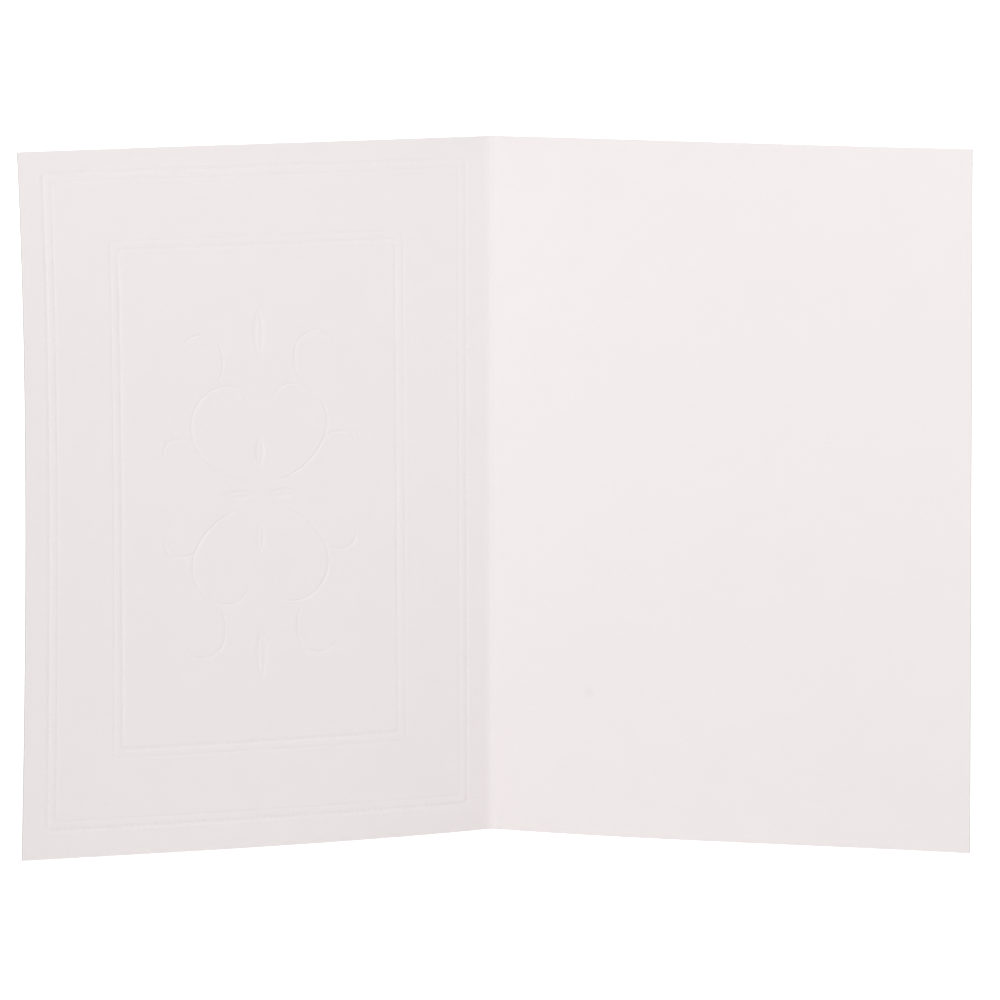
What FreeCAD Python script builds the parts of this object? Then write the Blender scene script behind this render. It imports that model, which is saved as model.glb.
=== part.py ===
import FreeCAD, Part
import math
import os

from FreeCAD import Vector

# A greeting card: one sheet folded once down the middle, standing open on its bottom edge.
# X runs across the open card, Y from the open side back to the fold, Z up.
# All sizes are millimetres and all angles degrees.

# The sheet, folded a little to the right of its middle
panel_width = 127.0
fold_drift = 0.65
card_height = 177.8
sheet_thickness = 0.35
opening_angle = 138.6

# The fold: a softened band each side of the fold line, with a raised score bead inside it
fold_band = 1.9
fold_sharpness = 0.7
score_bead_width = 1.1
score_bead_height = 0.05

# How the paper has bowed: offsets towards the inside, at one and two thirds of each panel's width
left_bottom_bow = (6.4, 2.9)
left_top_bow = (1.6, -2.0)
right_bottom_bow = (5.3, -0.65)
right_top_bow = (-1.0, 3.6)
right_panel_twist = -1.0
# and the same up the left panel's free edge, at one and two thirds of its height
left_edge_bow = (4.4, 7.4)

# Stamped frames on the left panel: grooves inside, ridges outside
frame_margin = 6.5
frame_rise = 0.77
mat_width = 19.6
frame_line_width = 1.45
frame_line_depth = 0.15
fine_line_gap = 2.15
fine_line_width = 0.7
fine_line_depth = 0.06

# Stamped scroll ornament inside the inner frame
ornament_clearance = 13.4
ornament_depth = 0.11
stroke_width = 1.1
ridge_spread = 0.15

# One quarter of the ornament, in millimetres from its centre, as drawn for a height of 98
ornament_drawn_height = 98.0
# Each scroll: start, heading, then tangent arcs as (radius, turn)
ornament_scrolls = (
    ((3.0, 3.2), 6.0, ((18.0, 58.0), (9.8, 114.0), (5.2, 98.0))),
    ((11.5, 27.4), 124.0, ((11.0, -46.0), (5.8, -140.0))),
    ((16.8, 13.4), 34.0, ((8.0, -50.0), (3.2, -110.0))),
)
# Each leaf: tip, heading, length, width
ornament_leaves = (
    ((0.0, 33.5), 90.0, 13.5, 3.6),
    ((1.6, 0.0), 0.0, 8.6, 3.0),
    ((0.0, 6.6), 90.0, 8.2, 3.0),
)

# Edges nearer than this are one edge
edge_match = 1e-5

# Derived widths and directions of the two panels
left_width = panel_width + fold_drift
right_width = panel_width - fold_drift
panel_swing = math.radians((180.0 - opening_angle) / 2)
left_along = Vector(-math.cos(panel_swing), -math.sin(panel_swing), 0)
right_along = Vector(math.cos(panel_swing), -math.sin(panel_swing), 0)
left_inward = Vector(math.sin(panel_swing), -math.cos(panel_swing), 0)
right_inward = Vector(-math.sin(panel_swing), -math.cos(panel_swing), 0)
fold_inward = Vector(0, -1, 0)


# Exact polynomial faces


def bernstein(degree, i, t):
    return math.comb(degree, i) * t**i * (1 - t) ** (degree - i)


def inverse_of(rows):
    """The inverse of a small square matrix."""
    size = len(rows)
    work = [list(row) + [float(i == j) for j in range(size)] for i, row in enumerate(rows)]
    for i in range(size):
        pivot = max(range(i, size), key=lambda k: abs(work[k][i]))
        work[i], work[pivot] = work[pivot], work[i]
        work[i] = [value / work[i][i] for value in work[i]]
        for k in range(size):
            if k != i:
                factor = work[k][i]
                work[k] = [a - factor * b for a, b in zip(work[k], work[i])]
    return [row[size:] for row in work]


def pole_weights(degree):
    """Weights that turn evenly spaced points of a polynomial curve into its poles."""
    steps = [k / degree for k in range(degree + 1)]
    return inverse_of([[bernstein(degree, i, t) for i in range(degree + 1)] for t in steps])


weights = {degree: pole_weights(degree) for degree in (1, 3, 4, 6)}


def polynomial_face(point, degree_p, degree_q):
    """The face that point(p, q) draws over the unit square, exact up to the two degrees."""
    grid = [[point(i / degree_p, j / degree_q) for j in range(degree_q + 1)] for i in range(degree_p + 1)]
    surface = Part.BezierSurface()
    surface.increase(degree_p, degree_q)
    for i, row_weights in enumerate(weights[degree_p]):
        for j, column_weights in enumerate(weights[degree_q]):
            pole = Vector()
            for a, row in zip(row_weights, grid):
                for b, sample in zip(column_weights, row):
                    pole += sample * (a * b)
            surface.setPole(i + 1, j + 1, pole)
    return surface.toShape()


def between(a, b, t):
    return a + (b - a) * t


# The bowed panels, before anything is stamped


def bow_at(bow, lean, share):
    """The inward offset at a share of the panel's width, from its two bow values."""
    rest = 1 - share
    return 3 * share * rest**2 * bow[0] + 3 * share**2 * rest * bow[1] + share * lean


def left_point(along, height, outward=0.0):
    share, rise = along / left_width, height / card_height
    offset = between(bow_at(left_bottom_bow, 0, share), bow_at(left_top_bow, 0, share), rise)
    offset += bow_at(left_edge_bow, 0, rise) * share**3
    return left_along * along + left_inward * (offset - outward) + Vector(0, 0, height)


def right_point(along, height, outward=0.0):
    share, rise = along / right_width, height / card_height
    bottom = bow_at(right_bottom_bow, right_panel_twist, share)
    top = bow_at(right_top_bow, -right_panel_twist, share)
    offset = between(bottom, top, rise)
    return right_along * along + right_inward * (offset - outward) + Vector(0, 0, height)


# Stamped frames as nested rectangles, each with its depth


def frame_corners(inset):
    """The corners of a frame rectangle, from the fold side at the bottom, going round."""
    near, far = fold_drift + inset, left_width - inset
    low, high = inset + frame_rise, card_height - inset + frame_rise
    return ((near, low), (far, low), (far, high), (near, high))


def stamped_line(inset, width, depth):
    return ((inset - width / 2, 0.0), (inset, depth), (inset + width / 2, 0.0))


inner_frame_inset = frame_margin + mat_width
stamped_lines = (
    stamped_line(frame_margin, frame_line_width, frame_line_depth)
    + stamped_line(frame_margin + fine_line_gap, fine_line_width, fine_line_depth)
    + stamped_line(inner_frame_inset - fine_line_gap, fine_line_width, fine_line_depth)
    + stamped_line(inner_frame_inset, frame_line_width, frame_line_depth)
)
panel_corners = (
    (fold_band, 0.0),
    (left_width, 0.0),
    (left_width, card_height),
    (fold_band, card_height),
)
rectangles = ((panel_corners, 0.0),) + tuple((frame_corners(inset), depth) for inset, depth in stamped_lines)


def ring_faces(outer, inner, wall):
    """The four mitred faces between two nested rectangles."""
    faces = []
    for side in range(4):
        start, end = outer[0][side], outer[0][(side + 1) % 4]
        inner_start, inner_end = inner[0][side], inner[0][(side + 1) % 4]

        def point(p, q):
            along = between(between(start[0], end[0], p), between(inner_start[0], inner_end[0], p), q)
            height = between(between(start[1], end[1], p), between(inner_start[1], inner_end[1], p), q)
            stamped = between(outer[1], inner[1], q)
            return left_point(along, height, wall + stamped)

        faces.append(polynomial_face(point, 6, 6))
    return faces


def centre_face(wall):
    (near, low), (far, high) = rectangles[-1][0][0], rectangles[-1][0][2]
    return polynomial_face(lambda p, q: left_point(between(near, far, p), between(low, high, q), wall), 3, 3)


def left_panel_faces(wall):
    faces = [centre_face(wall)]
    for index in range(len(rectangles) - 1):
        faces += ring_faces(rectangles[index], rectangles[index + 1], wall)
    return faces


def right_panel_face(wall):
    def point(p, q):
        return right_point(between(fold_band, right_width, p), card_height * q, wall)

    return polynomial_face(point, 3, 1)


def slope_at(bow, lean, share, width):
    """How fast the bow grows across a panel of this width, per millimetre."""
    rest = 1 - share
    near = 3 * bow[0] * (rest**2 - 2 * share * rest)
    far = 3 * bow[1] * (2 * share * rest - share**2)
    return (near + far + lean) / width


def fold_point(across, height, wall):
    """A point on the rounded fold, from the left panel at across = 0 to the right at 1."""
    rise = height / card_height
    share = fold_band / left_width
    bottom_slope = slope_at(left_bottom_bow, 0, share, left_width)
    left_slope = between(bottom_slope, slope_at(left_top_bow, 0, share, left_width), rise)
    left_slope += bow_at(left_edge_bow, 0, rise) * 3 * share**2 / left_width
    share = fold_band / right_width
    bottom_slope = slope_at(right_bottom_bow, right_panel_twist, share, right_width)
    right_slope = between(bottom_slope, slope_at(right_top_bow, -right_panel_twist, share, right_width), rise)
    reach = fold_sharpness * fold_band
    left = left_point(fold_band, height, wall)
    right = right_point(fold_band, height, wall)
    left_guide = left - (left_along + left_inward * left_slope) * reach
    right_guide = right - (right_along + right_inward * right_slope) * reach
    guides = (left, left_guide, right_guide, right)
    place = Vector()
    for i, guide in enumerate(guides):
        place += guide * bernstein(3, i, across)
    return place


def fold_faces(wall):
    """Three strips across the fold; the middle one carries the score bead."""
    bead_share = score_bead_width / (2 * fold_band)
    cuts = (0.0, 0.5 - bead_share / 2, 0.5 + bead_share / 2, 1.0)
    faces = []
    for strip in range(3):
        start, end = cuts[strip], cuts[strip + 1]
        height = score_bead_height if strip == 1 else 0.0

        def point(p, q):
            place = fold_point(between(start, end, p), card_height * q, wall)
            return place + fold_inward * (height * (4 * p * (1 - p)) ** 2)

        faces.append(polynomial_face(point, 4, 3))
    return faces


# The cut edges of the sheet


def free_edge_faces():
    def left_edge(p, q):
        return left_point(left_width, card_height * p, sheet_thickness * q)

    def right_edge(p, q):
        return right_point(right_width, card_height * p, sheet_thickness * q)

    return [polynomial_face(left_edge, 3, 1), polynomial_face(right_edge, 1, 1)]


def level_face(faces, height):
    """The flat cut edge at one height, bounded by the other faces' edges there."""
    rim = []
    for face in faces:
        for edge in face.Edges:
            box = edge.BoundBox
            if abs(box.ZMin - height) < edge_match and abs(box.ZMax - height) < edge_match:
                rim.append(edge)
    return Part.Face(Part.Wire(Part.__sortEdges__(rim)))


def closed_solid(faces):
    shell = Part.Compound(faces)
    shell.sewShape(edge_match)
    solid = Part.Solid(shell.Shells[0])
    solid.fix(edge_match, edge_match, edge_match)
    return solid


def plain_sheet():
    faces = free_edge_faces()
    for wall in (0.0, sheet_thickness):
        faces += left_panel_faces(wall) + [right_panel_face(wall)] + fold_faces(wall)
    faces += [level_face(faces, 0.0), level_face(faces, card_height)]
    return closed_solid(faces)


# The scroll ornament

ornament_height = card_height - 2 * (inner_frame_inset + ornament_clearance)
ornament_scale = ornament_height / ornament_drawn_height
ornament_middle = (fold_drift + panel_width / 2, card_height / 2 + frame_rise)


def ornament_place(x, y, flip_x, flip_y):
    """A drawn point of the ornament, on the flat plane of the left panel."""
    along = ornament_middle[0] + flip_x * x * ornament_scale
    height = ornament_middle[1] + flip_y * y * ornament_scale
    return left_along * along + Vector(0, 0, height)


def arc_chain(start, heading, turns, half_width):
    """Three points for each of a chain of tangent arcs, shifted sideways to taper at both ends."""
    x, y = start
    angle = math.radians(heading)
    length = sum(radius * abs(turn) for radius, turn in turns)
    done = 0.0
    arcs = []
    for radius, turn in turns:
        hand = math.copysign(1, turn)
        centre = (x - hand * radius * math.sin(angle), y + hand * radius * math.cos(angle))
        points = []
        for part in (0.0, 0.5, 1.0):
            share = (done + part * radius * abs(turn)) / length
            reach = radius - hand * half_width * 4 * share * (1 - share)
            a = angle + math.radians(turn) * part
            points.append((centre[0] + hand * reach * math.sin(a), centre[1] - hand * reach * math.cos(a)))
        arcs.append(points)
        done += radius * abs(turn)
        angle += math.radians(turn)
        x = centre[0] + hand * radius * math.sin(angle)
        y = centre[1] - hand * radius * math.cos(angle)
    return arcs


def outline_face(arcs, flips):
    edges = [Part.Arc(*(ornament_place(x, y, *flips) for x, y in points)).toShape() for points in arcs]
    return Part.Face(Part.Wire(edges))


def scroll_face(start, heading, turns, half_width, flips):
    """A stroke that swells from a point at one end and narrows to a point at the other."""
    one_side = arc_chain(start, heading, turns, half_width)
    other_side = arc_chain(start, heading, turns, -half_width)
    backwards = [tuple(reversed(points)) for points in reversed(other_side)]
    return outline_face(one_side + backwards, flips)


def leaf_face(tip, heading, length, width, flips):
    """An almond shape between two arcs that meet at both tips."""
    angle = math.radians(heading)
    end = (tip[0] + length * math.cos(angle), tip[1] + length * math.sin(angle))
    middle = ((tip[0] + end[0]) / 2, (tip[1] + end[1]) / 2)
    bulge = (-math.sin(angle) * width / 2, math.cos(angle) * width / 2)
    one = (tip, (middle[0] + bulge[0], middle[1] + bulge[1]), end)
    other = (end, (middle[0] - bulge[0], middle[1] - bulge[1]), tip)
    return outline_face([one, other], flips)


def mirror_flips(place):
    """The quarters that a motif is repeated in; one that starts on an axis is not doubled across it."""
    flips_x = (1, -1) if place[0] else (1,)
    flips_y = (1, -1) if place[1] else (1,)
    return [(flip_x, flip_y) for flip_x in flips_x for flip_y in flips_y]


def ornament_faces(spread):
    """Every motif in all four quarters, widened by spread on each side."""
    half_width = (stroke_width / 2 + spread) / ornament_scale
    widening = 2 * spread / ornament_scale
    faces = []
    for start, heading, turns in ornament_scrolls:
        faces += [scroll_face(start, heading, turns, half_width, flips) for flips in mirror_flips(start)]
    for tip, heading, length, width in ornament_leaves:
        faces += [leaf_face(tip, heading, length, width + widening, flips) for flips in mirror_flips(tip)]
    return faces


def ornament_tool(spread, shallow, deep):
    """The ornament as solids between two depths that follow the bowed panel."""
    (near, low), (far, high) = rectangles[-1][0][0], rectangles[-1][0][2]

    def at(across, up, down):
        depth = between(shallow, deep, down)
        return left_point(between(near, far, across), between(low, high, up), depth)

    layer_faces = []
    for end in (0.0, 1.0):
        layer_faces.append(polynomial_face(lambda p, q: at(p, q, end), 3, 3))
        layer_faces.append(polynomial_face(lambda p, q: at(p, end, q), 3, 1))
        layer_faces.append(polynomial_face(lambda p, q: at(end, p, q), 3, 1))
    layer = closed_solid(layer_faces)
    most_bow = max(abs(value) for value in left_bottom_bow + left_top_bow) + max(left_edge_bow)
    throw = most_bow + 2 * sheet_thickness + ornament_depth
    prisms = []
    for face in ornament_faces(spread):
        face.translate(left_inward * -throw)
        prisms.append(face.extrude(left_inward * (2 * throw)))
    joined = prisms[0].fuse(prisms[1:])
    return joined.common(layer)


def stamped_card():
    overlap = sheet_thickness / 3
    sheet = plain_sheet()
    ridge = ornament_tool(ridge_spread, sheet_thickness - overlap, sheet_thickness + ornament_depth)
    groove = ornament_tool(0.0, -overlap, ornament_depth)
    return sheet.fuse(ridge).cut(groove)


def centred(shape):
    """The shape with the middle of its bottom edge's box at the origin."""
    box = shape.optimalBoundingBox(False, False)
    shape.translate(Vector(-(box.XMin + box.XMax) / 2, -(box.YMin + box.YMax) / 2, -box.ZMin))
    return shape


os.makedirs("parts", exist_ok=True)
card = centred(stamped_card())
card.exportStep("parts/folded_card.step")
print("volume", round(card.Volume, 1), "faces", len(card.Faces), "solids", len(card.Solids), card.isValid())
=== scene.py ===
import math

import bpy
import numpy as np
from mathutils import Matrix, Vector
from mathutils.geometry import delaunay_2d_cdt
from mathutils.kdtree import KDTree


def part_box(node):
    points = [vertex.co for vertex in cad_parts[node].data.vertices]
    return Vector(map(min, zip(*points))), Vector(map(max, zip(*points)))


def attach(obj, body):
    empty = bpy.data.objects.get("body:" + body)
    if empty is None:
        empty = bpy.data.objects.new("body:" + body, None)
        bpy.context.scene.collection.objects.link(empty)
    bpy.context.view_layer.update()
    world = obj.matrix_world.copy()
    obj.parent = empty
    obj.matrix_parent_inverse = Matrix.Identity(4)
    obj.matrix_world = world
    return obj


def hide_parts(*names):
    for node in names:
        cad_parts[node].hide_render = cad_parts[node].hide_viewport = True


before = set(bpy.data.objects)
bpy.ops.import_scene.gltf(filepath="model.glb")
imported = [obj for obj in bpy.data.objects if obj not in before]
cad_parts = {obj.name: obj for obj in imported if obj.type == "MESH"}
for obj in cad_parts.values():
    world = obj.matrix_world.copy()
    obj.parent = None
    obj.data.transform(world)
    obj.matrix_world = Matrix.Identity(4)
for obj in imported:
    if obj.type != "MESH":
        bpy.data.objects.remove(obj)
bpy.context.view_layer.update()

# A greeting card: one stamped and folded sheet of card stock, standing open.
# The sheet is laid out flat in millimetres, x from the fold line (left panel negative) and
# y up from the bottom edge, and two node trees then stamp it and fold it. Scene lengths are metres.

MM = 0.001

# The sheet, folded a little to the right of its middle
PANEL_WIDTH = 127.0
FOLD_DRIFT = 0.65
CARD_HEIGHT = 177.8
SHEET_THICKNESS = 0.35
OPENING_ANGLE = 138.6

# The fold
FOLD_BAND = 1.9
FOLD_SHARPNESS = 0.7
SCORE_WIDTH = 1.1
SCORE_HEIGHT = 0.05
CREASE_ANGLE = 50.0
WELD_DISTANCE = 0.002

# How the paper has bowed: offsets towards the inside at one and two thirds of each panel
LEFT_BOTTOM_BOW = (6.4, 2.9)
LEFT_TOP_BOW = (1.6, -2.0)
RIGHT_BOTTOM_BOW = (5.3, -0.65)
RIGHT_TOP_BOW = (-1.0, 3.6)
RIGHT_TWIST = -1.0
# and the same up the left panel's free edge, at one and two thirds of its height
LEFT_EDGE_BOW = (4.4, 7.4)

# The stamped frames on the left panel
FRAME_MARGIN = 6.5
FRAME_RISE = 0.77
MAT_WIDTH = 19.6
LINE_WIDTH = 1.45
LINE_DEPTH = 0.065
BEAD_PITCH = 1.6
BEAD_WIDTH = 1.25
BEAD_DEPTH = 0.085
FINE_GAP = 2.15
FINE_WIDTH = 0.8
FINE_DEPTH = 0.06
CORNER_RADIUS = 0.9
RIDGE_SPREAD = 0.15

# The scroll ornament, one quarter of it as drawn for a height of 98 mm
ORNAMENT_CLEARANCE = 13.4
ORNAMENT_DEPTH = 0.11
STROKE_WIDTH = 1.1
STROKE_FADE = 0.25
ORNAMENT_DRAWN_HEIGHT = 98.0
ORNAMENT_SCROLLS = (
    ((3.0, 3.2), 6.0, ((18.0, 58.0), (9.8, 114.0), (5.2, 98.0))),
    ((11.5, 27.4), 124.0, ((11.0, -46.0), (5.8, -140.0))),
    ((16.8, 13.4), 34.0, ((8.0, -50.0), (3.2, -110.0))),
)
ORNAMENT_LEAVES = (
    ((0.0, 33.5), 90.0, 13.5, 3.6),
    ((1.6, 0.0), 0.0, 8.6, 3.0),
    ((0.0, 6.6), 90.0, 8.2, 3.0),
)
LEAF_LIP = 0.45
LEAF_VEIN = 0.28
LEAF_VEIN_RISE = 0.55

LEFT_WIDTH = PANEL_WIDTH + FOLD_DRIFT
RIGHT_WIDTH = PANEL_WIDTH - FOLD_DRIFT
INNER_FRAME_INSET = FRAME_MARGIN + MAT_WIDTH
FRAME_MIDDLE = np.array((-FOLD_DRIFT - PANEL_WIDTH / 2, CARD_HEIGHT / 2 + FRAME_RISE))
ORNAMENT_SCALE = (CARD_HEIGHT - 2 * (INNER_FRAME_INSET + ORNAMENT_CLEARANCE)) / ORNAMENT_DRAWN_HEIGHT
QUARTERS = tuple(np.array((flip_x, flip_y)) for flip_x in (1, -1) for flip_y in (1, -1))


# The scroll ornament as a depth over the flat sheet


def rounded_stamp(nearness):
    """A soft-edged stamp: 1 on the centre line, falling smoothly to 0 where nearness is 1."""
    return np.clip(1 - nearness**2, 0, 1) ** 2


def scroll_arcs(start, heading, turns):
    """Each arc of a scroll: centre, radius, hand, first heading, turn and the length before it."""
    place = np.array(start)
    angle = math.radians(heading)
    done = 0.0
    for radius, turn in turns:
        hand = math.copysign(1, turn)
        centre = place - hand * radius * np.array((math.sin(angle), -math.cos(angle)))
        yield centre, radius, hand, angle, abs(math.radians(turn)), done
        angle += math.radians(turn)
        done += radius * abs(math.radians(turn))
        place = centre + hand * radius * np.array((math.sin(angle), -math.cos(angle)))


def scroll_length(turns):
    return sum(radius * abs(math.radians(turn)) for radius, turn in turns)


def scroll_depth(points, start, heading, turns, spread):
    """How deep a tapered scroll stroke is stamped at each drawn point."""
    length = scroll_length(turns)
    depth = np.zeros(len(points))
    for centre, radius, hand, first, turn, done in scroll_arcs(start, heading, turns):
        away = (points - centre) * hand
        swept = (np.arctan2(away[:, 0], -away[:, 1]) - first) * hand
        swept = np.mod(swept + math.pi / 2, 2 * math.pi) - math.pi / 2
        share = (done + radius * swept) / length
        half_width = (STROKE_WIDTH / 2 + spread) * np.clip(4 * share * (1 - share), 1e-6, 1)
        off_line = np.abs(np.hypot(away[:, 0], away[:, 1]) - radius)
        stroke = rounded_stamp(off_line / half_width) * np.clip(half_width / STROKE_FADE, 0, 1)
        on_arc = (swept >= 0) & (swept <= turn)
        depth = np.maximum(depth, np.where(on_arc, stroke, 0))
    return depth


def leaf_half_width(along, length, width):
    """Half the width of an almond between two circular arcs."""
    bulge = width / 2
    radius = (length**2 / 4 + bulge**2) / (2 * bulge)
    return np.sqrt(np.maximum(radius**2 - (along - length / 2) ** 2, 0)) - (radius - bulge)


def leaf_depth(points, tip, heading, length, width, spread):
    """A dished almond with a raised vein along its middle."""
    angle = math.radians(heading)
    ahead = np.array((math.cos(angle), math.sin(angle)))
    from_tip = points - np.array(tip)
    along = from_tip @ ahead
    off_line = np.abs(from_tip @ np.array((-ahead[1], ahead[0])))
    half_width = np.where((along > 0) & (along < length), leaf_half_width(along, length, width) + spread, 0)
    inside = np.clip((half_width - off_line) / LEAF_LIP, 0, 1)
    lip = inside**2 * (3 - 2 * inside)
    vein = LEAF_VEIN_RISE * rounded_stamp(np.clip(off_line / LEAF_VEIN, 0, 1))
    return lip * (1 - vein)


def ornament_depth(sheet_points, spread):
    """The ornament's depth at each point of the flat sheet."""
    drawn = (sheet_points - FRAME_MIDDLE) / ORNAMENT_SCALE
    depth = np.zeros(len(drawn))
    for quarter in QUARTERS:
        for start, heading, turns in ORNAMENT_SCROLLS:
            depth = np.maximum(depth, scroll_depth(drawn * quarter, start, heading, turns, spread))
        for tip, heading, length, width in ORNAMENT_LEAVES:
            depth = np.maximum(depth, leaf_depth(drawn * quarter, tip, heading, length, width, spread))
    return depth * ORNAMENT_DEPTH


# Where the flat sheet has points: close together across every stamped line, wide apart elsewhere

# Rows across a stroke, as shares of its half width, and rows in mm beside it
STROKE_STEP = 0.6
STROKE_ROWS = (0.0, 0.35, 0.7, 1.0)
GUARD_ROWS = (RIDGE_SPREAD, 0.5)

# Rows across a stamped frame line, as shares of its half width
MAIN_LINE_ROWS = (-1.4, -1, -0.6, -0.3, 0, 0.3, 0.6, 1, 1.4)
FINE_LINE_ROWS = (-1.6, -1, -0.5, 0, 0.5, 1, 1.6)
FINE_LINE_STEP = 1.0
CORNER_STEPS = 5

# Rows across the score and the fold, as shares of half the score and of the band
SCORE_ROWS = (0, 0.25, 0.5, 0.75, 1.0)
FOLD_ROWS = (0.4, 0.55, 0.7, 0.85, 1.0, 1.3)
FOLD_LEVELS = 120

# Points along the sheet's edges, and the spread over its plain parts in mm
EDGE_POINTS_ACROSS = 86
EDGE_POINTS_UP = 60
PLAIN_SPACING = 3.2
PLAIN_CLEARANCE = 1.1
SAME_POINT = 0.04
LAYOUT_TOLERANCE = 1e-7


def rows_across(half_width):
    """Offsets of the rows of points on both sides of a stroke's centre line."""
    steps = [half_width * row for row in STROKE_ROWS] + [half_width + row for row in GUARD_ROWS]
    return sorted(set([-step for step in steps] + steps))


def scroll_points(start, heading, turns):
    points = []
    length = scroll_length(turns)
    for centre, radius, hand, first, turn, done in scroll_arcs(start, heading, turns):
        count = max(3, round(radius * turn / STROKE_STEP))
        for swept in np.linspace(0, turn, count + 1):
            share = (done + radius * swept) / length
            angle = first + hand * swept
            outward = np.array((math.sin(angle), -math.cos(angle))) * hand
            for offset in rows_across(STROKE_WIDTH / 2 * 4 * share * (1 - share)):
                points.append(centre + outward * (radius + offset))
    return points


def leaf_points(tip, heading, length, width):
    points = []
    angle = math.radians(heading)
    ahead = np.array((math.cos(angle), math.sin(angle)))
    beside = np.array((-ahead[1], ahead[0]))
    for along in np.linspace(0, length, round(length / STROKE_STEP) + 1):
        half_width = float(leaf_half_width(along, length, width))
        rows = [0, LEAF_VEIN / 2, LEAF_VEIN, half_width - LEAF_LIP, half_width - LEAF_LIP / 2, half_width]
        rows = [row for row in rows if 0 <= row <= half_width] + [half_width + row for row in GUARD_ROWS]
        for offset in sorted(set([-row for row in rows] + rows)):
            points.append(np.array(tip) + ahead * along + beside * offset)
    return points


def ornament_points():
    drawn = []
    for start, heading, turns in ORNAMENT_SCROLLS:
        drawn += scroll_points(start, heading, turns)
    for leaf in ORNAMENT_LEAVES:
        drawn += leaf_points(*leaf)
    drawn = np.array(drawn)
    quarters = np.concatenate([drawn * quarter for quarter in QUARTERS])
    return quarters * ORNAMENT_SCALE + FRAME_MIDDLE


def frame_line_points(inset, corner, offsets, step):
    """Rows of points along a rounded rectangle and beside it."""
    half_width, half_height = PANEL_WIDTH / 2 - inset, CARD_HEIGHT / 2 - inset
    straight_x, straight_y = half_width - corner, half_height - corner
    quarter = []
    for offset in offsets:
        reach = min(corner + offset, 0)
        for x in np.arange(0, straight_x + reach, step):
            quarter.append((x, half_height + offset))
        for y in np.arange(0, straight_y + reach, step):
            quarter.append((half_width + offset, y))
        radius = max(corner + offset, 0)
        for angle in np.linspace(0, math.pi / 2, CORNER_STEPS if radius else 1):
            turn = (math.cos(angle), math.sin(angle)) if radius else (0, 0)
            quarter.append((straight_x + reach + radius * turn[0], straight_y + reach + radius * turn[1]))
    quarter = np.array(quarter)
    return np.concatenate([quarter * flips + FRAME_MIDDLE for flips in QUARTERS])


def frame_points():
    main = [LINE_WIDTH / 2 * row for row in MAIN_LINE_ROWS]
    fine = [FINE_WIDTH / 2 * row for row in FINE_LINE_ROWS]
    lines = (
        (FRAME_MARGIN, CORNER_RADIUS, main, BEAD_PITCH / 4),
        (FRAME_MARGIN + FINE_GAP, CORNER_RADIUS, fine, FINE_LINE_STEP),
        (INNER_FRAME_INSET - FINE_GAP, CORNER_RADIUS, fine, FINE_LINE_STEP),
        (INNER_FRAME_INSET, CORNER_RADIUS, main, BEAD_PITCH / 4),
    )
    return np.concatenate([frame_line_points(*line) for line in lines])


def fold_points():
    rows = [SCORE_WIDTH / 2 * row for row in SCORE_ROWS] + [FOLD_BAND * row for row in FOLD_ROWS]
    rows = [-row for row in rows[:0:-1]] + rows
    heights = np.linspace(0, CARD_HEIGHT, FOLD_LEVELS)
    return np.array([(x, y) for x in rows for y in heights])


def rim_points():
    across = np.linspace(-LEFT_WIDTH, RIGHT_WIDTH, EDGE_POINTS_ACROSS)
    up = np.linspace(0, CARD_HEIGHT, EDGE_POINTS_UP)
    points = [(x, y) for x in across for y in (0, CARD_HEIGHT)]
    return np.array(points + [(x, y) for x in (-LEFT_WIDTH, RIGHT_WIDTH) for y in up])


def plain_points(taken, spacing, clear):
    """An even spread over the rest of the sheet, clear of every point that is already there."""
    tree = KDTree(len(taken))
    for index, (x, y) in enumerate(taken):
        tree.insert((x, y, 0), index)
    tree.balance()
    columns = round(2 * PANEL_WIDTH / spacing)
    rows = round(CARD_HEIGHT / spacing)
    points = []
    for column in range(1, columns):
        for row in range(1, rows):
            x = -LEFT_WIDTH + 2 * PANEL_WIDTH * (column + 0.5 * (row % 2)) / columns
            y = CARD_HEIGHT * row / rows
            if tree.find((x, y, 0))[2] > clear and x < RIGHT_WIDTH - clear:
                points.append((x, y))
    return np.array(points)


def flat_sheet():
    """The unfolded sheet as one layer of triangles, with the ornament's depth on its points."""
    taken = np.concatenate([fold_points(), rim_points(), frame_points(), ornament_points()])
    points = np.concatenate([taken, plain_points(taken, PLAIN_SPACING, PLAIN_CLEARANCE)])
    keys = np.unique(np.round(points / SAME_POINT), axis=0, return_index=True)[1]
    points = points[np.sort(keys)]
    corners = [Vector(point) for point in points]
    laid, _, faces, _, _, _ = delaunay_2d_cdt(corners, [], [], 0, LAYOUT_TOLERANCE)
    laid = np.array([tuple(corner) for corner in laid])
    mesh = bpy.data.meshes.new("flat_sheet")
    vertices = np.column_stack([laid * MM, np.zeros(len(laid))])
    mesh.from_pydata(vertices.tolist(), [], faces, shade_flat=False)
    for name, spread in (("ornament_groove", 0.0), ("ornament_ridge", RIDGE_SPREAD)):
        attribute = mesh.attributes.new(name, "FLOAT", "POINT")
        attribute.data.foreach_set("value", (ornament_depth(laid, spread) * MM).astype(np.float32))
    return bpy.data.objects.new("folded_card", mesh)


# Node trees that hold the card's rules


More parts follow.
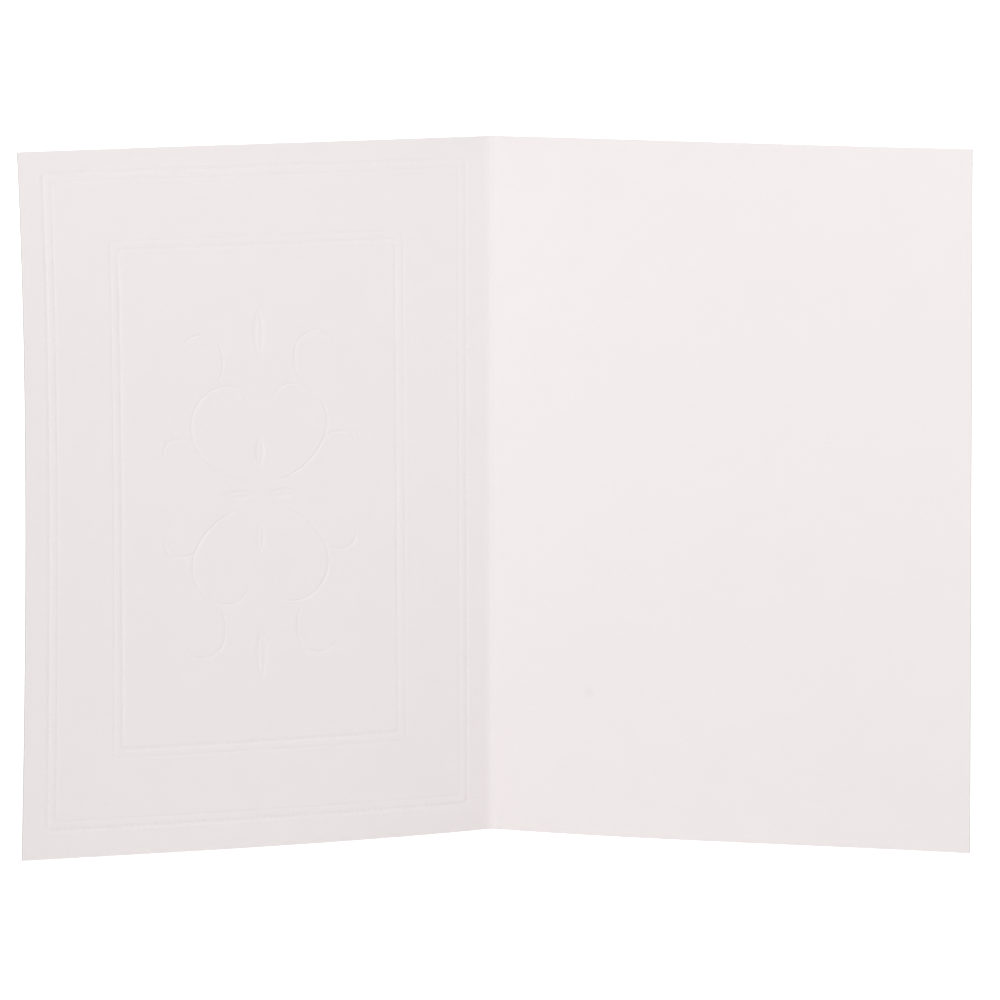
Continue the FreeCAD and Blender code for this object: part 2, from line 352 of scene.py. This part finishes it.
class Number:
    """A number worked out inside a node tree, so that a rule can be written as a sum."""

    def __init__(self, tree, socket):
        self.tree = tree
        self.socket = socket

    def worked(self, operation, *others):
        node = self.tree.nodes.new("ShaderNodeMath")
        node.operation = operation
        for slot, value in zip(node.inputs, (self, *others)):
            if isinstance(value, Number):
                self.tree.links.new(value.socket, slot)
            else:
                slot.default_value = value
        return Number(self.tree, node.outputs[0])

    def __add__(self, other):
        return self.worked("ADD", other)

    def __mul__(self, other):
        return self.worked("MULTIPLY", other)

    def __sub__(self, other):
        return self.worked("SUBTRACT", other)

    def __truediv__(self, other):
        return self.worked("DIVIDE", other)

    def __neg__(self):
        return self.worked("MULTIPLY", -1)

    def __rsub__(self, other):
        return -self + other

    __radd__ = __add__
    __rmul__ = __mul__

    def squared(self):
        return self * self

    def root(self):
        return self.worked("SQRT")

    def magnitude(self):
        return self.worked("ABSOLUTE")

    def at_least(self, other):
        return self.worked("MAXIMUM", other)

    def at_most(self, other):
        return self.worked("MINIMUM", other)

    def held(self):
        """Kept between 0 and 1."""
        return self.at_least(0).at_most(1)

    def past(self, other):
        return self.worked("GREATER_THAN", other)

    def rounded(self):
        return self.worked("ROUND")


def between(a, b, share):
    return a + (b - a) * share


def card_tree(name, sizes, with_material):
    """An empty geometry tree with one named input for each size."""
    tree = bpy.data.node_groups.new(name, "GeometryNodeTree")
    tree.interface.new_socket("Geometry", in_out="INPUT", socket_type="NodeSocketGeometry")
    for label, value in sizes.items():
        socket = tree.interface.new_socket(label, in_out="INPUT", socket_type="NodeSocketFloat")
        socket.default_value = value
    if with_material:
        tree.interface.new_socket("Material", in_out="INPUT", socket_type="NodeSocketMaterial")
    tree.interface.new_socket("Geometry", in_out="OUTPUT", socket_type="NodeSocketGeometry")
    entry = tree.nodes.new("NodeGroupInput")
    numbers = {label: Number(tree, entry.outputs[label]) for label in sizes}
    return tree, entry, numbers


def stage_in_tree(tree, kind, geometry, **settings):
    """Adds one geometry step after the given geometry socket."""
    node = tree.nodes.new(kind)
    for name, value in settings.items():
        setattr(node, name, value)
    tree.links.new(geometry, node.inputs[0])
    return node


def store_in_tree(tree, geometry, name, kind, domain):
    """Adds a step that stores a named attribute on the geometry."""
    store = stage_in_tree(tree, "GeometryNodeStoreNamedAttribute", geometry, data_type=kind, domain=domain)
    store.inputs["Name"].default_value = name
    return store


def sheet_attribute(tree, name):
    node = tree.nodes.new("GeometryNodeInputNamedAttribute")
    node.data_type = "FLOAT"
    node.inputs["Name"].default_value = name
    return Number(tree, node.outputs["Attribute"])


def place_numbers(tree):
    position = tree.nodes.new("GeometryNodeInputPosition")
    split = tree.nodes.new("ShaderNodeSeparateXYZ")
    tree.links.new(position.outputs[0], split.inputs[0])
    return [Number(tree, socket) for socket in split.outputs]


def run_tree(piece, tree, sizes, material=None):
    """Puts a tree on the piece and sets its inputs."""
    modifier = piece.modifiers.new(tree.name, "NODES")
    modifier.node_group = tree
    for item in tree.interface.items_tree:
        if item.in_out == "INPUT" and item.name in sizes:
            modifier[item.identifier] = sizes[item.name]
        if item.in_out == "INPUT" and item.name == "Material":
            modifier[item.identifier] = material


def stamp_across(nearness):
    """A stamp with a flat floor and steep sides: 1 on the line, 0 where nearness is 1."""
    reach = nearness.magnitude()
    return (1 - reach * reach * reach).held().squared()


def frame_line_stamp(across, up, half_width, half_height, corner, width, depth):
    """The depth of a plain stamped line, its distance from the line and the place along it."""
    beside = across.magnitude() - (half_width - corner)
    above = up.magnitude() - (half_height - corner)
    outside = (beside.at_least(0).squared() + above.at_least(0).squared()).root()
    distance = outside + beside.at_least(above).at_most(0) - corner
    place = between(across, up, beside.past(above))
    return stamp_across(distance / (width / 2)) * depth, distance, place


def stamping_tree(sizes):
    """Stamps the framing lines and their beads, and adds the ornament's depth."""
    tree, entry, n = card_tree("Stamped lines", sizes, False)
    x, up, _ = place_numbers(tree)
    across = x + n["Fold Drift"] + n["Panel Width"] / 2
    up = up - (n["Card Height"] / 2 + n["Frame Rise"])
    inner = n["Frame Margin"] + n["Mat Width"]
    rows = (
        (n["Frame Margin"], True),
        (n["Frame Margin"] + n["Fine Gap"], False),
        (inner - n["Fine Gap"], False),
        (inner, True),
    )
    geometry = entry.outputs["Geometry"]
    for face, spread in (("groove", 0.0), ("ridge", n["Ridge Spread"])):
        stamped = sheet_attribute(tree, "ornament_" + face)
        for inset, beaded in rows:
            label = "Line" if beaded else "Fine"
            width = n[label + " Width"] + spread * 2
            half_width = n["Panel Width"] / 2 - inset
            half_height = n["Card Height"] / 2 - inset
            line, distance, place = frame_line_stamp(
                across, up, half_width, half_height, n["Corner Radius"], width, n[label + " Depth"]
            )
            if beaded:
                step = place / n["Bead Pitch"]
                off_bead = (step - step.rounded()) * n["Bead Pitch"]
                nearness = (distance.squared() + off_bead.squared()).root() / (n["Bead Width"] / 2 + spread)
                line = line + stamp_across(nearness) * n["Bead Depth"]
            stamped = stamped.at_least(line)
        store = store_in_tree(tree, geometry, face, "FLOAT", "POINT")
        tree.links.new(stamped.socket, store.inputs["Value"])
        geometry = store.outputs[0]
    leave = tree.nodes.new("NodeGroupOutput")
    tree.links.new(geometry, leave.inputs[0])
    return tree


def bow_offset(near, far, lean, share):
    """The inward offset at a share of the panel's width."""
    rest = 1 - share
    return share * rest * rest * near * 3 + share * share * rest * far * 3 + share * lean


def bow_slope(near, far, lean, share, width):
    """How fast the bow grows across the panel."""
    rest = 1 - share
    grown = (rest * rest - share * rest * 2) * near * 3 + (share * rest * 2 - share * share) * far * 3
    return (grown + lean) / width


def thickened_sheet(tree, geometry, n):
    """The flat sheet as a closed slab, with its flat places and its cut edges marked."""
    place = tree.nodes.new("GeometryNodeInputPosition")
    keep = store_in_tree(tree, geometry, "sheet_place", "FLOAT_VECTOR", "POINT")
    tree.links.new(place.outputs[0], keep.inputs["Value"])

    through = tree.nodes.new("ShaderNodeCombineXYZ")
    tree.links.new(n["Sheet Thickness"].socket, through.inputs["Z"])
    wall = stage_in_tree(tree, "GeometryNodeExtrudeMesh", keep.outputs[0], mode="FACES")
    tree.links.new(through.outputs[0], wall.inputs["Offset"])
    wall.inputs["Offset Scale"].default_value = 1.0
    wall.inputs["Individual"].default_value = False
    edge = store_in_tree(tree, wall.outputs["Mesh"], "cut_edge", "FLOAT", "FACE")
    tree.links.new(wall.outputs["Side"], edge.inputs["Selection"])
    edge.inputs["Value"].default_value = 1.0

    under = stage_in_tree(tree, "GeometryNodeFlipFaces", keep.outputs[0])
    both = tree.nodes.new("GeometryNodeJoinGeometry")
    tree.links.new(edge.outputs[0], both.inputs[0])
    tree.links.new(under.outputs[0], both.inputs[0])
    closed = stage_in_tree(tree, "GeometryNodeMergeByDistance", both.outputs[0])
    closed.inputs["Distance"].default_value = WELD_DISTANCE * MM
    return closed.outputs[0]


def folded_place(tree, n):
    """Where each point of the slab comes to stand, bowed and folded: across, back and up."""
    x, height, depth = place_numbers(tree)
    share_out = depth / n["Sheet Thickness"]
    outward = depth + between(sheet_attribute(tree, "groove"), sheet_attribute(tree, "ridge"), share_out)
    on_right = x.past(0)
    side = on_right * 2 - 1
    widths = [n["Panel Width"] + n["Fold Drift"], n["Panel Width"] - n["Fold Drift"]]
    rise = height / n["Card Height"]
    swing = n["Panel Swing"]
    ahead, aside = swing.worked("COSINE"), swing.worked("SINE")

    def level_bow(hand, lean):
        bottom, top = hand + " Bottom Bow ", hand + " Top Bow "
        near, far = (between(n[bottom + end], n[top + end], rise) for end in ("Near", "Far"))
        return near, far, lean

    left_bow = level_bow("Left", 0.0)
    right_bow = level_bow("Right", between(n["Right Twist"], -n["Right Twist"], rise))
    edge_bow = bow_offset(n["Left Edge Bow Low"], n["Left Edge Bow High"], 0.0, rise)

    def panel_place(hand, along, inward):
        """Across and back for a panel point, with the hand -1 on the left and 1 on the right."""
        return (along * ahead - inward * aside) * hand, -(along * aside) - inward * ahead

    along = x.magnitude()
    share = along / between(*widths, on_right)
    left_offset = bow_offset(*left_bow, share) + edge_bow * share * share * share
    offset = between(left_offset, bow_offset(*right_bow, share), on_right)
    panel_x, panel_y = panel_place(side, along, offset - outward)

    band = n["Fold Band"]
    guides = []
    sides = ((-1.0, left_bow, edge_bow), (1.0, right_bow, edge_bow * 0))
    for (hand, bow_values, edge), width in zip(sides, widths):
        band_share = band / width
        inward = bow_offset(*bow_values, band_share) + edge * band_share * band_share * band_share - outward
        slope = bow_slope(*bow_values, band_share, width) + edge * band_share * band_share * 3 / width
        reach = n["Fold Sharpness"] * band
        end = panel_place(hand, band, inward)
        guide = panel_place(hand, band - reach, inward - slope * reach)
        guides.append((end, guide))
    across = ((x / band + 1) / 2).held()
    rest = 1 - across
    near_weight, far_weight = across * rest * rest * 3, across * across * rest * 3
    weights = (rest * rest * rest, near_weight, far_weight, across * across * across)
    run = (guides[0][0], guides[0][1], guides[1][1], guides[1][0])
    fold_x, fold_y = (
        sum((weight * point[axis] for weight, point in zip(weights, run)), 0.0) for axis in (0, 1)
    )
    bead_share = n["Score Width"] / band / 2
    up_bead = ((across - 0.5) / bead_share + 0.5).held()
    fold_y = fold_y - n["Score Height"] * (up_bead * (1 - up_bead) * 4).squared()

    in_fold = band.past(along)
    return between(panel_x, fold_x, in_fold), between(panel_y, fold_y, in_fold), height


def folding_tree(sizes):
    """Gives the flat stamped sheet its thickness, then bows and folds it to its standing form."""
    tree, entry, n = card_tree("Folded sheet", sizes, True)
    slab = thickened_sheet(tree, entry.outputs["Geometry"], n)
    place = folded_place(tree, n)
    moved = tree.nodes.new("ShaderNodeCombineXYZ")
    for number, slot in zip(place, moved.inputs):
        tree.links.new(number.socket, slot)
    formed = stage_in_tree(tree, "GeometryNodeSetPosition", slab)
    tree.links.new(moved.outputs[0], formed.inputs["Position"])
    outside = stage_in_tree(tree, "GeometryNodeFlipFaces", formed.outputs[0])
    turn = tree.nodes.new("GeometryNodeInputMeshEdgeAngle")
    crease = Number(tree, turn.outputs["Unsigned Angle"]).past(n["Crease Angle"])
    crisp = store_in_tree(tree, outside.outputs[0], "sharp_edge", "BOOLEAN", "EDGE")
    tree.links.new(crease.socket, crisp.inputs["Value"])
    real = stage_in_tree(tree, "GeometryNodeRealizeInstances", crisp.outputs[0])
    finish = stage_in_tree(tree, "GeometryNodeSetMaterial", real.outputs[0])
    tree.links.new(entry.outputs["Material"], finish.inputs["Material"])
    leave = tree.nodes.new("NodeGroupOutput")
    tree.links.new(finish.outputs[0], leave.inputs[0])
    return tree


stamping_sizes = {
    "Panel Width": PANEL_WIDTH * MM,
    "Fold Drift": FOLD_DRIFT * MM,
    "Card Height": CARD_HEIGHT * MM,
    "Frame Margin": FRAME_MARGIN * MM,
    "Frame Rise": FRAME_RISE * MM,
    "Mat Width": MAT_WIDTH * MM,
    "Line Width": LINE_WIDTH * MM,
    "Line Depth": LINE_DEPTH * MM,
    "Bead Pitch": BEAD_PITCH * MM,
    "Bead Width": BEAD_WIDTH * MM,
    "Bead Depth": BEAD_DEPTH * MM,
    "Fine Gap": FINE_GAP * MM,
    "Fine Width": FINE_WIDTH * MM,
    "Fine Depth": FINE_DEPTH * MM,
    "Corner Radius": CORNER_RADIUS * MM,
    "Ridge Spread": RIDGE_SPREAD * MM,
}
folding_sizes = {
    "Panel Width": PANEL_WIDTH * MM,
    "Fold Drift": FOLD_DRIFT * MM,
    "Card Height": CARD_HEIGHT * MM,
    "Sheet Thickness": SHEET_THICKNESS * MM,
    "Panel Swing": math.radians((180 - OPENING_ANGLE) / 2),
    "Fold Band": FOLD_BAND * MM,
    "Fold Sharpness": FOLD_SHARPNESS,
    "Score Width": SCORE_WIDTH * MM,
    "Score Height": SCORE_HEIGHT * MM,
    "Left Bottom Bow Near": LEFT_BOTTOM_BOW[0] * MM,
    "Left Bottom Bow Far": LEFT_BOTTOM_BOW[1] * MM,
    "Left Top Bow Near": LEFT_TOP_BOW[0] * MM,
    "Left Top Bow Far": LEFT_TOP_BOW[1] * MM,
    "Right Bottom Bow Near": RIGHT_BOTTOM_BOW[0] * MM,
    "Right Bottom Bow Far": RIGHT_BOTTOM_BOW[1] * MM,
    "Right Top Bow Near": RIGHT_TOP_BOW[0] * MM,
    "Right Top Bow Far": RIGHT_TOP_BOW[1] * MM,
    "Right Twist": RIGHT_TWIST * MM,
    "Left Edge Bow Low": LEFT_EDGE_BOW[0] * MM,
    "Left Edge Bow High": LEFT_EDGE_BOW[1] * MM,
    "Crease Angle": math.radians(CREASE_ANGLE),
}


# The card stock


def paper_grain_group():
    """Fine felt grain and cloudy formation of uncoated stock, as masks and a height."""
    group = bpy.data.node_groups.new("Paper grain", "ShaderNodeTree")
    for name in ("Grain Scale", "Cloud Scale"):
        group.interface.new_socket(name, in_out="INPUT", socket_type="NodeSocketFloat")
    group.interface.new_socket("Place", in_out="INPUT", socket_type="NodeSocketVector")
    for name in ("Cloud", "Grain", "Height"):
        group.interface.new_socket(name, in_out="OUTPUT", socket_type="NodeSocketFloat")
    entry = group.nodes.new("NodeGroupInput")
    leave = group.nodes.new("NodeGroupOutput")

    def noise(scale, detail, roughness):
        node = group.nodes.new("ShaderNodeTexNoise")
        node.inputs["Detail"].default_value = detail
        node.inputs["Roughness"].default_value = roughness
        group.links.new(entry.outputs["Place"], node.inputs["Vector"])
        group.links.new(scale, node.inputs["Scale"])
        return node.outputs[0]

    cloud = noise(entry.outputs["Cloud Scale"], 3.0, 0.5)
    grain = noise(entry.outputs["Grain Scale"], 5.0, 0.6)
    height = group.nodes.new("ShaderNodeMath")
    height.operation = "MULTIPLY_ADD"
    height.inputs[1].default_value = 0.8
    group.links.new(grain, height.inputs[0])
    group.links.new(cloud, height.inputs[2])
    group.links.new(cloud, leave.inputs["Cloud"])
    group.links.new(grain, leave.inputs["Grain"])
    group.links.new(height.outputs[0], leave.inputs["Height"])
    return group


# Faint handling marks: place on the flat sheet in mm, radius in mm and strength
HANDLING_MARKS = (
    ((26.5, 36.7), 2.2, 0.35),
    ((84.4, 42.3), 0.7, 0.25),
    ((-105.6, 13.4), 0.5, 0.5),
)

# The grain and the clouds of the stock, in repeats a metre, and the grain's strength and height in mm
GRAIN_SCALE = 1500.0
CLOUD_SCALE = 90.0
GRAIN_BUMP = 0.35
GRAIN_HEIGHT = 0.03

STOCK_COLOUR = (0.87, 0.825, 0.822, 1)
STOCK_SHADE = (0.845, 0.797, 0.795, 1)
# The cut edges: the grey of cut fibres, darkened well beyond it as painted shade along the edge
EDGE_GREY_WITH_PAINTED_SHADE = (0.43, 0.405, 0.395, 1)
MARK_COLOUR = (0.78, 0.73, 0.72, 1)


def card_stock():
    material = bpy.data.materials.new("embossed_card_stock")
    material.use_nodes = True
    tree = material.node_tree
    nodes, links = tree.nodes, tree.links
    shader = nodes["Principled BSDF"]
    shader.inputs["Specular IOR Level"].default_value = 0.3
    place = nodes.new("ShaderNodeAttribute")
    place.attribute_name = "sheet_place"
    grain = nodes.new("ShaderNodeGroup")
    grain.node_tree = paper_grain_group()
    grain.inputs["Grain Scale"].default_value = GRAIN_SCALE
    grain.inputs["Cloud Scale"].default_value = CLOUD_SCALE
    links.new(place.outputs["Vector"], grain.inputs["Place"])

    def mixed(colour, other, share):
        node = nodes.new("ShaderNodeMix")
        node.data_type = "RGBA"
        if isinstance(colour, tuple):
            node.inputs["A"].default_value = colour
        else:
            links.new(colour, node.inputs["A"])
        node.inputs["B"].default_value = other
        links.new(share, node.inputs["Factor"])
        return node.outputs["Result"]

    def ranged(value, low, high, to_low, to_high):
        node = nodes.new("ShaderNodeMapRange")
        node.interpolation_type = "SMOOTHSTEP"
        links.new(value, node.inputs["Value"])
        for name, number in (("From Min", low), ("From Max", high), ("To Min", to_low), ("To Max", to_high)):
            node.inputs[name].default_value = number
        return node.outputs["Result"]

    colour = mixed(STOCK_COLOUR, STOCK_SHADE, ranged(grain.outputs["Cloud"], 0.3, 0.7, 0.15, 0.35))
    colour = mixed(colour, STOCK_SHADE, ranged(grain.outputs["Grain"], 0.35, 0.75, 0.0, 0.5))
    for (x, y), radius, strength in HANDLING_MARKS:
        reach = nodes.new("ShaderNodeVectorMath")
        reach.operation = "DISTANCE"
        reach.inputs[1].default_value = (x * MM, y * MM, 0)
        links.new(place.outputs["Vector"], reach.inputs[0])
        colour = mixed(colour, MARK_COLOUR, ranged(reach.outputs["Value"], 0.0, radius * MM, strength, 0.0))
    # The cut edge faces take the edge grey, which carries painted shade
    edge = nodes.new("ShaderNodeAttribute")
    edge.attribute_name = "cut_edge"
    colour = mixed(colour, EDGE_GREY_WITH_PAINTED_SHADE, edge.outputs["Fac"])
    links.new(colour, shader.inputs["Base Color"])
    links.new(ranged(grain.outputs["Grain"], 0.3, 0.8, 0.8, 0.92), shader.inputs["Roughness"])
    bump = nodes.new("ShaderNodeBump")
    bump.inputs["Strength"].default_value = GRAIN_BUMP
    bump.inputs["Distance"].default_value = GRAIN_HEIGHT * MM
    links.new(grain.outputs["Height"], bump.inputs["Height"])
    links.new(bump.outputs["Normal"], shader.inputs["Normal"])
    return material


# The card


def seated(mesh, node):
    """Moves the formed sheet to where the node stands: the same middle, on the same level."""
    low, high = (Vector(corner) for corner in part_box(node))
    points = np.empty(len(mesh.vertices) * 3, dtype=np.float32)
    mesh.vertices.foreach_get("co", points)
    points = points.reshape(-1, 3)
    middle = (points.min(axis=0) + points.max(axis=0)) / 2
    shift = ((low.x + high.x) / 2 - middle[0], (low.y + high.y) / 2 - middle[1], low.z - points[:, 2].min())
    mesh.transform(Matrix.Translation(shift))


def made_card():
    flat = flat_sheet()
    bpy.context.scene.collection.objects.link(flat)
    run_tree(flat, stamping_tree(stamping_sizes), stamping_sizes)
    run_tree(flat, folding_tree(folding_sizes), folding_sizes, card_stock())
    graph = bpy.context.evaluated_depsgraph_get()
    formed = bpy.data.meshes.new_from_object(flat.evaluated_get(graph))
    flat.modifiers.clear()
    seated(formed, "folded_card")
    flat.data = formed
    return flat


card = made_card()
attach(card, "root")
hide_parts("folded_card")


# The surroundings

FLOOR_REACH = 20.0
FLOOR_LIFT = 0.62


def white_floor():
    """A white surface that reads as pure white to the camera and keeps the card's soft shadow."""
    reach = FLOOR_REACH
    corners = [(-reach, -reach, 0), (reach, -reach, 0), (reach, reach, 0), (-reach, reach, 0)]
    mesh = bpy.data.meshes.new("floor")
    mesh.from_pydata(corners, [], [(0, 1, 2, 3)])
    floor = bpy.data.objects.new("floor", mesh)
    bpy.context.scene.collection.objects.link(floor)
    material = bpy.data.materials.new("white_floor")
    material.use_nodes = True
    nodes, links = material.node_tree.nodes, material.node_tree.links
    matte = nodes["Principled BSDF"]
    matte.inputs["Base Color"].default_value = (0.7, 0.7, 0.7, 1)
    matte.inputs["Roughness"].default_value = 0.9
    rays = nodes.new("ShaderNodeLightPath")
    seen = rays.outputs["Is Camera Ray"]
    for kind in ("Is Glossy Ray", "Is Transmission Ray"):
        either = nodes.new("ShaderNodeMath")
        either.operation = "MAXIMUM"
        links.new(seen, either.inputs[0])
        links.new(rays.outputs[kind], either.inputs[1])
        seen = either.outputs[0]
    lift = nodes.new("ShaderNodeMath")
    lift.operation = "MULTIPLY"
    lift.inputs[1].default_value = FLOOR_LIFT
    links.new(seen, lift.inputs[0])
    matte.inputs["Emission Color"].default_value = (1, 1, 1, 1)
    links.new(lift.outputs[0], matte.inputs["Emission Strength"])
    mesh.materials.append(material)


white_floor()

WORLD_STRENGTH = 0.5

# Soft boxes: place, width and height in metres, and power in watts, each aimed at the card
SOFT_BOXES = (
    ("key", (-1.9, -2.2, 0.8), 1.6, 1.6, 25.7),
    ("fill", (1.9, -2.2, 0.8), 1.6, 1.6, 13.2),
    ("front", (0.0, -0.45, 0.35), 0.4, 0.4, 0.575),
    ("back", (0.0, 2.4, 1.6), 1.6, 1.6, 30.0),
)


def soft_box(name, place, width, height, power):
    light = bpy.data.lights.new(name, "AREA")
    light.shape = "RECTANGLE"
    light.size, light.size_y = width, height
    light.energy = power
    lamp = bpy.data.objects.new(name, light)
    lamp.location = place
    aim = Vector((0, 0, CARD_HEIGHT * MM / 2)) - lamp.location
    lamp.rotation_euler = aim.to_track_quat("-Z", "Y").to_euler()
    bpy.context.scene.collection.objects.link(lamp)


for box in SOFT_BOXES:
    soft_box(*box)

world = bpy.data.worlds.new("white_room")
world.use_nodes = True
background = world.node_tree.nodes["Background"]
background.inputs["Color"].default_value = (1, 1, 1, 1)
background.inputs["Strength"].default_value = WORLD_STRENGTH
bpy.context.scene.world = world

# The camera, far off with a long lens: place in metres, yaw and pitch in degrees, lens in mm
CAMERA_PLACE = (-0.09234, -2.18167, 0.36015)
CAMERA_YAW = 2.4643
CAMERA_PITCH = 7.108
LENS = 314.53

lens = bpy.data.cameras.new("camera")
lens.lens = LENS
lens.sensor_width = 36.0
camera = bpy.data.objects.new("camera", lens)
yaw, pitch = math.radians(CAMERA_YAW), math.radians(CAMERA_PITCH)
aim = Vector((math.sin(yaw) * math.cos(pitch), math.cos(yaw) * math.cos(pitch), -math.sin(pitch)))
camera.location = CAMERA_PLACE
camera.rotation_euler = aim.to_track_quat("-Z", "Y").to_euler()
bpy.context.scene.collection.objects.link(camera)
bpy.context.scene.camera = camera

bpy.context.scene.view_settings.view_transform = "Standard"
